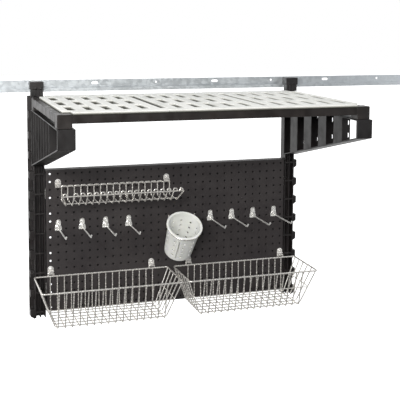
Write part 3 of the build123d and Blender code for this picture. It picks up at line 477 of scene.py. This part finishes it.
def pegboard():
    """Folded steel tray with 32 by 18 punched holes: two perforated faces joined by rounded folds."""
    half_width, half_height = COLUMNS * PITCH / 2, ROWS * PITCH / 2
    mid_z = row_z((ROWS - 1) / 2)
    limit_x, limit_z = half_width - PANEL_FOLD, half_height - PANEL_FOLD

    def place(u, v, depth):
        x = max(-limit_x, min(limit_x, u))
        z = max(-limit_z, min(limit_z, v - mid_z))
        return Vector((x, PANEL_FRONT + depth * PANEL_SHEET, mid_z + z))

    build = bmesh.new()
    for column in range(COLUMNS):
        for row in range(ROWS):
            hole_at = (column_x(column), row_z(row))
            sheet_cell(build, place, hole_at, (PITCH / 2, PITCH / 2), PEG_HOLE_R, 0.45)
    # The rim of the flat faces, from cell to cell, bent back through the fold and down the flange.
    stops = [s * PITCH / 2 for s in (-1, -tan(pi / 8), 0, tan(pi / 8), 1)]
    along_x = sorted({round(column_x(c) + s, 6) for c in range(COLUMNS) for s in stops})
    along_z = sorted({round(row_z(r) - mid_z + s, 6) for r in range(ROWS) for s in stops})
    around = (
        [(x, -half_height) for x in along_x[:-1]] + [(half_width, z) for z in along_z[:-1]]
        + [(x, half_height) for x in reversed(along_x[1:])]
        + [(-half_width, z) for z in reversed(along_z[1:])]
    )

    def bent(x, z, radius, turn, y):
        grow = radius * sin(turn)
        out = []
        for value, limit in ((x, limit_x), (z, limit_z)):
            held = max(-limit, min(limit, value))
            on_edge = abs(value) > limit + 1e-6
            out.append(held + (grow if value > 0 else -grow) if on_edge else held)
        return Vector((out[0], y, mid_z + out[1]))

    rings = []
    turns = [pi / 2 * k / 4 for k in range(5)]
    for turn in turns:
        y = PANEL_FRONT + PANEL_FOLD * (1 - cos(turn))
        rings.append([build.verts.new(bent(x, z, PANEL_FOLD, turn, y)) for x, z in around])
    rings.append([build.verts.new(bent(x, z, PANEL_FOLD, pi / 2, PANEL_BACK)) for x, z in around])
    inner = PANEL_FOLD - PANEL_SHEET
    rings.append([build.verts.new(bent(x, z, inner, pi / 2, PANEL_BACK)) for x, z in around])
    for turn in reversed(turns):
        y = PANEL_FRONT + PANEL_FOLD - inner * cos(turn)
        rings.append([build.verts.new(bent(x, z, inner, turn, y)) for x, z in around])
    join_rings(build, rings)
    sheet = mesh_from("pegboard", build)
    finish_piece("pegboard", sheet, "panel_coating", "unit", ("pegboard_panel",), 30.0)


# ---------------------------------------------------------------- clips and hooks


def strip(build, outline, thickness, left, right):
    """A bent strip: the outline is (y, z) points of its front face, thickened towards the wall side."""
    points = [Vector((0, y, z)) for y, z in outline]
    normals = []
    for i in range(len(points)):
        along = (points[min(i + 1, len(points) - 1)] - points[max(i - 1, 0)]).normalized()
        normals.append(Vector((0, -along.z, along.y)))
    rings = []
    for point, normal in zip(points, normals):
        behind = point + normal * thickness
        rings.append([
            build.verts.new((left, point.y, point.z)), build.verts.new((right, point.y, point.z)),
            build.verts.new((right, behind.y, behind.z)), build.verts.new((left, behind.y, behind.z)),
        ])
    join_rings(build, rings)
    build.faces.new(rings[0])
    build.faces.new(rings[-1])


def dome_plate(build, x, z, width, top, bottom, front, thickness, segments=20):
    """Flat plate with a half-round top and square foot, with its front edge rounded off."""
    radius = width / 2
    outline = [(-radius, bottom), (radius, bottom)]
    crown = [pi * k / segments for k in range(segments + 1)]
    outline += [(radius * cos(a), top - radius + radius * sin(a)) for a in crown]
    ease = 0.5
    middle = (top + bottom) / 2
    rings = []
    for depth, inset in ((thickness, 0.0), (ease, 0.0), (0.0, ease)):
        scale = (radius - inset) / radius
        rings.append([
            build.verts.new((x + px * scale, front + depth, z + middle + (pz - middle) * scale))
            for px, pz in outline
        ])
    join_rings(build, rings)
    build.faces.new(rings[0])
    build.faces.new(rings[-1])


def wire_clip(build, x, z):
    """Clip for a wire rod: domed plate, a band under its screw, a turned-up lip and two folds."""
    front = PANEL_FRONT - 2.0
    dome_plate(build, x, z, 19.0, 8.5, -19.0, front, 2.0)
    shoulder = [(front + 0.2, z - 9.8), (front - 1.6, z - 9.4), (front - 2.4, z - 8.0),
                (front - 1.6, z - 6.6), (front + 0.2, z - 6.2)]
    strip(build, shoulder, -0.2, x - 10.0, x + 10.0)
    floor = z - ROD_DROP - WIRE_R - 0.3
    lip = WIRE_PLANE - WIRE_R - 0.3
    turns = (0, pi / 6, pi / 3, pi / 2)
    bend = [(lip - 0.2 + 1.8 * (1 - cos(a)), floor + 1.8 * (1 - sin(a)) - 0.2) for a in turns]
    profile = [(lip - 1.2, floor + 8.0), (lip - 0.2, floor + 6.2), *bend, (front + 0.5, floor - 0.2)]
    strip(build, [(y, pz) for y, pz in profile], 1.8, x - 4.0, x + 4.0)
    for drop in (-18.2, -16.4):
        rib = [(front + 0.1, z + drop - 0.7), (front - 0.7, z + drop), (front + 0.1, z + drop + 0.7)]
        strip(build, rib, -0.1, x - 8.6, x + 8.6)


def clips(name, places, node):
    build = bmesh.new()
    for column, row in places:
        wire_clip(build, column_x(column), row_z(row))
    finish_piece(name, mesh_from(name, build), "zinc_clip", "unit", (node,), 35.0)


def hook_plate_mesh():
    """Bell-shaped hook plate about x = 0: pressed dimple, raised strap, and a foot that leans out."""
    top, low = row_z(6), row_z(7)
    back = -39.9
    thickness = 1.5
    rows, columns = 34, 14
    foot, crown = low - 4.0, top + 6.8
    build = bmesh.new()
    layers = []
    for layer in (0, 1):
        grid = []
        for j in range(rows + 1):
            z = foot + (crown - foot) * j / rows
            line = []
            for i in range(columns + 1):
                s = -1 + 2 * i / columns
                x = s * bell_half(z, foot, crown)
                y = back - (thickness if layer == 0 else 0.0) - hook_relief(x, z, top, low, foot)
                line.append(build.verts.new((x, y, z)))
            grid.append(line)
        layers.append(grid)
        for j in range(rows):
            for i in range(columns):
                build.faces.new((grid[j][i], grid[j][i + 1], grid[j + 1][i + 1], grid[j + 1][i]))
    edges = [
        [g[0][i] for i in range(columns)] + [g[j][columns] for j in range(rows)]
        + [g[rows][i] for i in range(columns, 0, -1)] + [g[j][0] for j in range(rows, 0, -1)]
        for g in layers
    ]
    join_rings(build, edges)
    return mesh_from("hook_plate", build)


def bell_half(z, foot, crown):
    """Half width of the bell outline: flared foot, straight flanks drawn in, round crown."""
    waist = foot + 17.0
    shoulder = crown - 8.5
    if z < foot + 8.0:
        return 11.0
    if z < waist:
        t = (z - foot - 8.0) / (waist - foot - 8.0)
        return 11.0 - 3.0 * (1 - cos(pi * t)) / 2
    if z < shoulder:
        return 8.0 - 0.5 * (z - waist) / (shoulder - waist)
    t = min(1.0, (z - shoulder) / (crown - shoulder))
    return 7.5 * max(0.06, 1 - t**2.2) ** 0.5


def hook_relief(x, z, top, low, foot):
    """How far the pressed plate stands out from its flat: leaning crown, dimple, strap and foot."""
    out = 0.0
    if z > top + 0.5:
        out += (z - top - 0.5) * tan(radians(38.0))
    ring = hypot(x, z - (top - 5.0))
    out += 0.8 * max(0.0, 1 - abs(ring - 3.4) / 1.6)
    strap = low + 11.0 + 0.35 * x
    out += 1.5 * max(0.0, 1 - ((z - strap) / 3.0) ** 2) * max(0.0, 1 - (x / 8.5) ** 4)
    if z < foot + 4.0:
        out += 2.2 * ((foot + 4.0 - z) / 4.0) ** 1.3
    return out


def hook_wires():
    """Rod and two pegs about x = 0. The rod lies down the plate, turns out and ends in an upturned tip."""
    top, low = row_z(6), row_z(7)
    face = -39.9 - 1.5
    rod_z = low + 3.0
    rod = [(0, face - 1.6, low + 17.0), (0, face - 1.6, rod_z),
           (0, -189.0, rod_z), (0, -197.4, rod_z + 8.4)]
    upper = [(0, face + 0.5, top), (0, -35.0, top), (0, -35.0, top + 7.5)]
    lower = [(0, face + 0.5, low), (0, -36.5, low)]
    return [
        (rounded(rod, 7.0, steps=8), 2.5, False),
        (rounded(upper, 2.2), 2.0, False),
        (lower, 2.0, False),
    ]


def hooks():
    plate = hook_plate_mesh()
    wires = wire_mesh("hook_wires", hook_wires(), 4)
    for number, column in enumerate(HOOK_COLUMNS, start=1):
        shift = Matrix.Translation((column_x(column) * MM, 0, 0))
        body = f"hook_{number}"
        for part, mesh, replaced in (("plate", plate, (body,)), ("wire", wires, ())):
            own = mesh.copy()
            own.transform(shift)
            finish_piece(f"{body}_{part}", own, "zinc_hook", body, replaced, 35.0)


# ---------------------------------------------------------------- wire goods


def basket(side_name, columns):
    """Basket of continuous wires: U wires front to back, long wires end to end, under a heavier rim."""
    middle = (column_x(columns[0]) + column_x(columns[1])) / 2
    length, depth, height = 440.0, 183.0, 120.0
    floor_length, floor_depth = 350.0, 150.0
    rim_z = -603.5
    floor_z = rim_z - height
    rear, front, floor_front = WIRE_PLANE, WIRE_PLANE - depth, WIRE_PLANE - floor_depth
    rim_r, thin = 2.6, 1.9
    half = length / 2 - WIRE_R
    floor_half = floor_length / 2
    wires = []
    corners = [(middle - half, rear, rim_z), (middle + half, rear, rim_z),
               (middle + half, front, rim_z), (middle - half, front, rim_z)]
    wires.append((rounded(corners, 9.0, True), rim_r, True))
    for i in range(16):
        x = middle + (i - 7.5) * 22.35
        path = [(x, rear, rim_z + 1.5), (x, rear, floor_z),
                (x, floor_front, floor_z), (x, front, rim_z + 1.5)]
        wires.append((rounded(path, 7.0), thin, False))
    for j in range(6):
        t = j / 5
        low_y = (rear + floor_front) / 2 + (t - 0.5) * (floor_depth - 16)
        high_y = low_y - (1 - t) * (depth - floor_depth)
        path = [
            (middle - half, high_y, rim_z + 1.0), (middle - floor_half, low_y, floor_z + 2 * thin),
            (middle + floor_half, low_y, floor_z + 2 * thin), (middle + half, high_y, rim_z + 1.0),
        ]
        wires.append((rounded(path, 9.0), thin, False))
    # One more wire runs round the basket half way up, inside the U wires.
    level = 0.52
    z = floor_z + level * height
    y = floor_front + (front - floor_front) * level + 2 * thin
    reach = floor_half + (half - floor_half) * level
    loop = [(middle - reach, rear - 2 * thin, z), (middle + reach, rear - 2 * thin, z),
            (middle + reach, y, z), (middle - reach, y, z)]
    wires.append((rounded(loop, 6.0, True), 0.8 * thin, True))
    rod_z = row_z(12) - ROD_DROP
    for column in columns:
        x = column_x(column)
        hanger = [(x - 9.0, rear, rim_z + 0.5), (x - 9.0, rear, rod_z),
                  (x + 9.0, rear, rod_z), (x + 9.0, rear, rim_z + 0.5)]
        wires.append((rounded(hanger, 3.0), thin, False))
    name = f"basket_{side_name}_wires"
    parts = [f"basket_{side_name}_{part}" for part in ("rim", "back", "front", "ends", "floor", "hangers")]
    finish_piece(name, wire_mesh(name, wires), "plated_wire", f"basket_{side_name}", parts, 60.0)


def tray():
    """Shallow rack: each wire has a flat tab at the top, runs down, forward, and up past the front rod."""
    middle, half, front_half = -181.0, 179.0 - WIRE_R, 193.0 - WIRE_R
    rod_z = row_z(1) - ROD_DROP
    floor_z, floor_front = -361.0, WIRE_PLANE - 84.0
    front_y, front_z = -164.0, -327.0
    rear, thin, pitch = WIRE_PLANE, 2.1, 21.0
    places = [-half] + [(i - 7.5) * pitch for i in range(16)] + [half]
    wires = []
    tab, eye = 0.72 * pitch, 11.0
    for place in places:
        x = middle + place
        front_x = middle + place * (front_half / half if abs(place) == half else 1.0)
        # A flat tab at the back top, then down, forward, up past the front rod and over in an eye.
        path = [(x, rear, floor_z), (x, floor_front, floor_z), (front_x, front_y, front_z)]
        if place < half:
            path = [(x + tab, rear, rod_z - 5.0), (x + tab, rear, rod_z), (x, rear, rod_z), *path]
            path += [
                (front_x + 1.0, front_y, front_z + 9.0),
                (front_x + eye, front_y, front_z + 8.0),
                (front_x + eye, front_y, front_z),
            ]
        else:
            path = [(x, rear, rod_z), *path]
        wires.append((rounded(path, 4.5), thin, False))
    # Two long wires lie across them, one at the back top and one at the floor's front.
    for y, z in ((rear - 2 * thin, rod_z - 2.0), (floor_front + 2 * thin, floor_z + 2 * thin)):
        wires.append(([(middle - half, y, z), (middle + half, y, z)], 0.8 * thin, False))
    # The front rod is bent back into a triangular eye at its right end.
    right, left = middle + front_half, middle - front_half
    rod = [(left, front_y, front_z), (right, front_y, front_z), (right - 9.0, front_y, front_z + 11.0),
           (right - 15.0, front_y, front_z + 1.0)]
    wires.append((rounded(rod, 3.0), thin, False))
    for column in TRAY_COLUMNS:
        x = column_x(column)
        wires.append(([(x - 10.0, rear, rod_z), (x + 10.0, rear, rod_z)], WIRE_R, False))
    finish_piece(
        "tray_wires", wire_mesh("tray_wires", wires), "plated_wire", "tray",
        ("tray_back", "tray_floor", "tray_front"), 60.0,
    )


# ---------------------------------------------------------------- cup and holder

CUP_LEAN = radians(36.87)
CUP_BASE = Vector((15.0, -82.0, -541.8))
CUP_AXIS = Vector((0, -sin(CUP_LEAN), cos(CUP_LEAN)))
CUP_UP = Vector((0, cos(CUP_LEAN), sin(CUP_LEAN)))
CUP_LENGTH = 127.0
CUP_WALL = 2.5


def cup_point(angle, t, radius):
    return CUP_BASE + CUP_AXIS * t + (Vector((1, 0, 0)) * cos(angle) + CUP_UP * sin(angle)) * radius


def cup_radius(t):
    return 45.0 + (53.5 - 45.0) * t / CUP_LENGTH


def cup():
    """Tapered cup: perforated wall with a slot down the front, rounded foot and rolled rim flange."""
    cell_angle = radians(18.0)
    start = radians(46.0)
    levels, first, step = 4, 26.0, 22.5
    slot_cell = 11
    slot_half = 1.7

    def place(u, v, depth):
        return cup_point(u, v, cup_radius(v) - depth * CUP_WALL)

    build = bmesh.new()
    stops = [s / 2 for s in (-1, -tan(pi / 8), 0, tan(pi / 8))]
    for level in range(levels):
        t = first + step * level
        # The hole is drawn in millimetres along the height, so its angle is scaled by the radius.
        radius = cup_radius(t)
        half = (cell_angle / 2 * radius, step / 2)
        for turn in range(20):
            angle = start + turn * cell_angle

            def placed(u, v, depth, angle=angle, radius=radius):
                return place(angle + u / radius, v, depth)

            if turn == slot_cell:
                slotted_cell(build, placed, t, half, slot_half)
            else:
                sheet_cell(build, placed, (0.0, t), half, 0.0 if turn % 2 else 3.6, 0.4)
    angles = [start + (turn + s) * cell_angle for turn in range(20) for s in stops]
    low, high = first - step / 2, first + step * (levels - 0.5)

    def ring(t, radius):
        return [build.verts.new(cup_point(a, t, radius)) for a in angles]

    def wall(t, depth):
        return [build.verts.new(place(a, t, depth)) for a in angles]

    foot = [ring(3.2, 45.0), ring(1.2, 44.0), ring(0.0, 41.5), ring(0.0, 30.0), ring(1.0, 28.0)]
    join_rings(build, [wall(low, 0.0), wall(6.0, 0.0), *foot, [build.verts.new(CUP_BASE + CUP_AXIS)]])
    floor = [ring(4.0, 41.5), ring(3.0, 40.0), ring(2.6, 20.0)]
    join_rings(build, [wall(low, 1.0), wall(6.0, 1.0), *floor, [build.verts.new(CUP_BASE + CUP_AXIS * 2.6)]])
    lip = CUP_LENGTH
    rim = [
        ring(lip - 3.4, 53.4), ring(lip - 2.9, 54.2), ring(lip - 2.8, 56.8), ring(lip - 2.2, 57.8),
        ring(lip - 0.9, 57.9), ring(lip - 0.2, 57.2), ring(lip, 56.2), ring(lip, 52.2),
        ring(lip - 0.6, 51.2),
    ]
    inside = [wall(t, 1.0) for t in (122.0, 118.0, high)]
    join_rings(build, [wall(high, 0.0), wall(118.0, 0.0), *rim, *inside])
    finish_piece("cup_shell", mesh_from("cup_shell", build), "cup_plastic", "cup", ("cup",), 38.0)


def slotted_cell(build, place, middle, half, slot_half):
    """One cell of a sheet cut through from top to bottom, with a wall on each side of the cut."""
    tan_eighth = tan(pi / 8)
    heights = [middle + half[1] * s for s in (-1, -tan_eighth, 0, tan_eighth, 1)]
    for side in (-1, 1):
        across = [side * u for u in (half[0], tan_eighth * half[0], slot_half)]
        rings = []
        for v in heights:
            front = [build.verts.new(place(u, v, 0.0)) for u in across]
            back = [build.verts.new(place(u, v, 1.0)) for u in reversed(across)]
            rings.append(front + back)
        for low, high in zip(rings, rings[1:]):
            for k in range(5):
                build.faces.new((low[k], low[k + 1], high[k + 1], high[k]))


def cup_holder():
    """Ring of wire on two arms from a rounded wall plate; the arm ends turn up past the cup's rim."""
    t = 121.0
    ring_r, arm_r = 2.2, 1.9
    reach = cup_radius(t) + 0.5 + ring_r
    plate_x, plate_z, arm_half = 25.4, -466.5, 19.0
    loop = [cup_point(2 * pi * k / 64, t, reach) for k in range(64)]
    wires = [(loop, ring_r, True)]
    for angle, side in ((pi / 4, 1), (3 * pi / 4, -1)):
        start = cup_point(angle, t, reach)
        wall = Vector((plate_x + side * arm_half, PANEL_FRONT - 4.0, plate_z - 6.0))
        tip = cup_point(angle, CUP_LENGTH + 2.0, 61.0)
        elbow = cup_point(angle, t - 1.0, 61.0)
        arm = rounded([tip, elbow, wall, wall + Vector((0, 0, -8.0))], 4.0)
        wires.append((arm, arm_r, False))
        wires.append(([elbow, start], arm_r, False))
    ring = wire_mesh("cup_holder_ring", wires, 4)
    finish_piece("cup_holder_ring", ring, "plated_wire", "unit", ("cup_ring",), 60.0)
    build = bmesh.new()
    corner, half_width, half_height = 6.0, 25.5, 21.0
    centre_x, centre_z = half_width - corner, half_height - corner
    outline = []
    for sx, sz, quarter in ((1, 1, 0), (-1, 1, 1), (-1, -1, 2), (1, -1, 3)):
        for k in range(7):
            a = pi / 2 * (quarter + k / 6)
            outline.append((sx * centre_x + corner * cos(a), sz * centre_z + corner * sin(a)))
    rings = []
    for depth, inset in ((2.0, 0.0), (0.5, 0.0), (0.0, 0.5), (0.0, 5.0), (0.7, 6.0)):
        rings.append([
            build.verts.new((
                plate_x + px * (1 - inset / half_width), PANEL_FRONT - 2.0 + depth,
                plate_z + pz * (1 - inset / half_height),
            ))
            for px, pz in outline
        ])
    join_rings(build, rings)
    build.faces.new(rings[0])
    build.faces.new(rings[-1])
    plate = mesh_from("cup_holder_back", build)
    finish_piece("cup_holder_back", plate, "zinc_clip", "unit", ("cup_holder_plate",), 35.0)


# ---------------------------------------------------------------- mouldings, shelf and rail


def mouldings():
    for side_name, _ in SIDES:
        softened(f"upright_{side_name}", "black_moulding", "unit", 0.7)
        softened(f"hanger_{side_name}", "black_moulding", "unit", 0.7)
        # The brackets take the darker copy of the black moulding: painted shade.
        softened(f"bracket_{side_name}", "black_moulding", "unit", 0.8, look="bracket_moulding_painted_shade")
        softened(f"shelf_side_beam_{side_name}", "shelf_moulding", "shelf", 1.0)
        softened(f"shelf_joist_{side_name}", "shelf_moulding", "shelf", 1.0)
        for place in ("front", "rear"):
            softened(f"shelf_corner_{place}_{side_name}", "shelf_moulding", "shelf", 0.6)
    for place in ("front", "rear"):
        softened(f"shelf_{place}_beam", "shelf_moulding", "shelf", 1.0)
    for place in ("left", "centre", "right"):
        softened(f"mat_{place}", "ivory_mat", f"mat_{place}", 1.1)
    for place in ("upper", "lower"):
        softened(f"panel_stiffener_{place}", "panel_coating", "unit", 0.4)
    # The backing takes the near-black painted-shade look, not the panel's coating.
    softened("panel_backing", "panel_coating", "unit", 0.25, 1, look="backing_painted_shade")
    softened("panel_clips", "zinc_clip", "unit", 0.4)
    softened("wall_rail", "galvanised_steel", "rail", 0.45)


def small_metal():
    clip_places = [(c, 1) for c in TRAY_COLUMNS]
    basket_places = [(c, 12) for _, pair in BASKETS for c in pair]
    clips("tray_clip_pair", clip_places, "tray_clips")
    clips("basket_clip_set", basket_places, "basket_clips")
    on_plates = [(column_x(c), row_z(r)) for c, r in clip_places + basket_places + [(16, 7), (17, 7)]]
    screws("clip_screw_heads", on_plates, PANEL_FRONT - 2.0, "clip_screws")
    on_panel = [(x, row_z(r)) for x in (-254.0, 254.0) for r in (4.5, 12.5)]
    screws("panel_screw_heads", on_panel, PANEL_FRONT, "panel_screws", look="panel_coating")
    on_heads = [(s * 426.5 + x, -5.0) for _, s in SIDES for x in (-8, 8)]
    screws("hanger_screw_heads", on_heads, -38.0, "hanger_screws", "black_moulding")


# ---------------------------------------------------------------- camera, light, floor


def camera():
    """Camera left of the middle and a little above the rail, looking slightly down."""
    azimuth, elevation, roll = radians(17.961), radians(-5.297), radians(0.354)
    ahead = Vector((sin(azimuth) * cos(elevation), cos(azimuth) * cos(elevation), sin(elevation)))
    right = ahead.cross(Vector((0, 0, 1))).normalized()
    up = right.cross(ahead)
    right, up = right * cos(roll) + up * sin(roll), up * cos(roll) - right * sin(roll)
    data = bpy.data.cameras.new("camera")
    data.lens = 80.03
    data.sensor_width = 36.0
    data.shift_y = -0.25
    data.clip_end = 100.0
    shot = bpy.data.objects.new("camera", data)
    rotation = Matrix((right, up, -ahead)).transposed().to_4x4()
    shot.matrix_world = Matrix.Translation((-0.7979, -2.8153, 0.2174)) @ rotation
    bpy.context.scene.collection.objects.link(shot)
    bpy.context.scene.camera = shot


def area_light(name, place, target, size, power, colour=(1.0, 1.0, 1.0)):
    data = bpy.data.lights.new(name, "AREA")
    data.shape = "RECTANGLE"
    data.size, data.size_y = size
    data.energy = power
    data.color = colour
    lamp = bpy.data.objects.new(name, data)
    lamp.location = place
    lamp.rotation_mode = "QUATERNION"
    lamp.rotation_quaternion = (Vector(target) - Vector(place)).to_track_quat("-Z", "Y")
    bpy.context.scene.collection.objects.link(lamp)


def studio():
    """White behind the rack and to the camera, a dimmer room in front, soft boxes, and a white floor."""
    world = bpy.data.worlds.new("studio")
    world.use_nodes = True
    tree = world.node_tree
    background = tree.nodes["Background"]
    coords = tree.nodes.new("ShaderNodeTexCoord")
    split = tree.nodes.new("ShaderNodeSeparateXYZ")
    tree.links.new(coords.outputs["Generated"], split.inputs["Vector"])

    def unit_range(direction):
        node = tree.nodes.new("ShaderNodeMapRange")
        node.inputs["From Min"].default_value = -1.0
        node.inputs["From Max"].default_value = 1.0
        tree.links.new(split.outputs[direction], node.inputs["Value"])
        return node.outputs["Result"]

    room = ramp(
        tree, unit_range("Z"),
        (0.0, (0.10, 0.10, 0.10)), (0.47, (0.10, 0.10, 0.10)),
        (0.60, (0.30, 0.31, 0.32)), (1.0, (0.52, 0.53, 0.54)),
    )
    behind = ramp(tree, unit_range("Y"), (0.56, (0.0, 0.0, 0.0)), (0.74, (1.0, 1.0, 1.0)))
    glow = mixed(tree, behind, room, (1.0, 1.0, 1.0, 1.0))
    path = tree.nodes.new("ShaderNodeLightPath")
    seen = mixed(tree, path.outputs["Is Camera Ray"], glow, (1.0, 1.0, 1.0, 1.0))
    tree.links.new(seen, background.inputs["Color"])
    background.inputs["Strength"].default_value = 1.0
    bpy.context.scene.world = world
    target = (0.0, -0.25, -0.35)
    area_light("key", (-1.5, -3.3, 0.75), target, (1.3, 1.1), 118.0, (1.0, 0.99, 0.97))
    area_light("fill", (2.6, -2.4, 0.4), target, (1.0, 1.6), 14.0, (0.97, 0.98, 1.0))
    area_light("side", (-2.6, -0.3, 0.5), (-0.3, -0.25, -0.3), (1.6, 1.6), 26.0)
    build = bmesh.new()
    bmesh.ops.create_grid(build, x_segments=8, y_segments=8, size=20.0)
    mesh = bpy.data.meshes.new("floor")
    build.to_mesh(mesh)
    build.free()
    floor = bpy.data.objects.new("floor", mesh)
    floor.location = (0, 0, -1.3)
    floor.visible_glossy = False
    floor.visible_diffuse = False
    made, _, shader = new_material("floor_white", roughness=0.9, specular=0.1)
    shader.inputs["Base Color"].default_value = (0.93, 0.93, 0.93, 1.0)
    shader.inputs["Emission Color"].default_value = (1.0, 1.0, 1.0, 1.0)
    shader.inputs["Emission Strength"].default_value = 0.85
    mesh.materials.append(made)
    bpy.context.scene.collection.objects.link(floor)
    bpy.context.scene.view_settings.view_transform = "Standard"


camera()
studio()
mouldings()
pegboard()
small_metal()
hooks()
for basket_side, basket_columns in BASKETS:
    basket(basket_side, basket_columns)
tray()
cup()
cup_holder()
